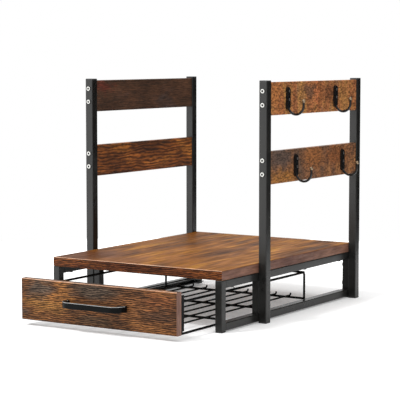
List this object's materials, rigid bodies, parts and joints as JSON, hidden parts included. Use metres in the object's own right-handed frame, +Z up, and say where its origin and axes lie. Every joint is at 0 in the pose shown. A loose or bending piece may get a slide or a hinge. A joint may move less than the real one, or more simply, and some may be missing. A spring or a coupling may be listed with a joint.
{
  "type": "coffee station organizer",
  "caption": "Tabletop organizer: a wooden board on black steel side frames, tall posts with wooden slats and hooks for cups, and a wire basket drawer under the board.",
  "frame": {"origin": "on the floor, under the middle of the object's box at rest, drawer partly open", "axes": "+X across the width, to the right seen from the drawer's side; +Y from the drawer's front to the back; +Z up"},
  "size_m": [0.436, 0.5928, 0.404],
  "materials": {
    "board_wood": "rustic brown, satin",
    "slat_wood": "rustic brown, satin",
    "front_wood": "rustic brown, satin",
    "frame_steel": "semi-gloss black powder coat",
    "wire_steel": "semi-gloss black powder coat",
    "hook_metal": "gloss black",
    "handle_metal": "satin dark grey",
    "screw_steel": "bright zinc",
    "dark_screw": "black oxide",
    "plug_plastic": "matte black"
  },
  "bodies": {
    "stand": {"board_screws": "dark_screw", "frame_glides": "plug_plastic", "hook_lower_front_left": "hook_metal", "hook_lower_front_right": "hook_metal", "hook_lower_rear_left": "hook_metal", "hook_lower_rear_right": "hook_metal", "hook_screws": "screw_steel", "hook_upper_front_left": "hook_metal", "hook_upper_front_right": "hook_metal", "hook_upper_rear_left": "hook_metal", "hook_upper_rear_right": "hook_metal", "post_bolts": "dark_screw", "post_caps": "plug_plastic", "post_front_left": "frame_steel", "post_front_right": "frame_steel", "post_glides": "plug_plastic", "post_rear_left": "frame_steel", "post_rear_right": "frame_steel", "runner_left": "frame_steel", "runner_right": "frame_steel", "side_frame_left": "frame_steel", "side_frame_right": "frame_steel", "slat_lower_left": "slat_wood", "slat_lower_right": "slat_wood", "slat_screws": "screw_steel", "slat_upper_left": "slat_wood", "slat_upper_right": "slat_wood", "top_board": "board_wood"},
    "drawer": {"drawer_front": "front_wood", "drawer_basket": "wire_steel", "drawer_strap_left": "frame_steel", "drawer_strap_right": "frame_steel", "drawer_handle": "handle_metal", "strap_screws": "dark_screw", "handle_screws": "dark_screw"}
  },
  "joints": [
    {"name": "drawer_slide", "type": "slide", "parent": "stand", "child": "drawer", "axis": [0, -1, 0], "range_m": [-0.1075, 0.16]}
  ]
}
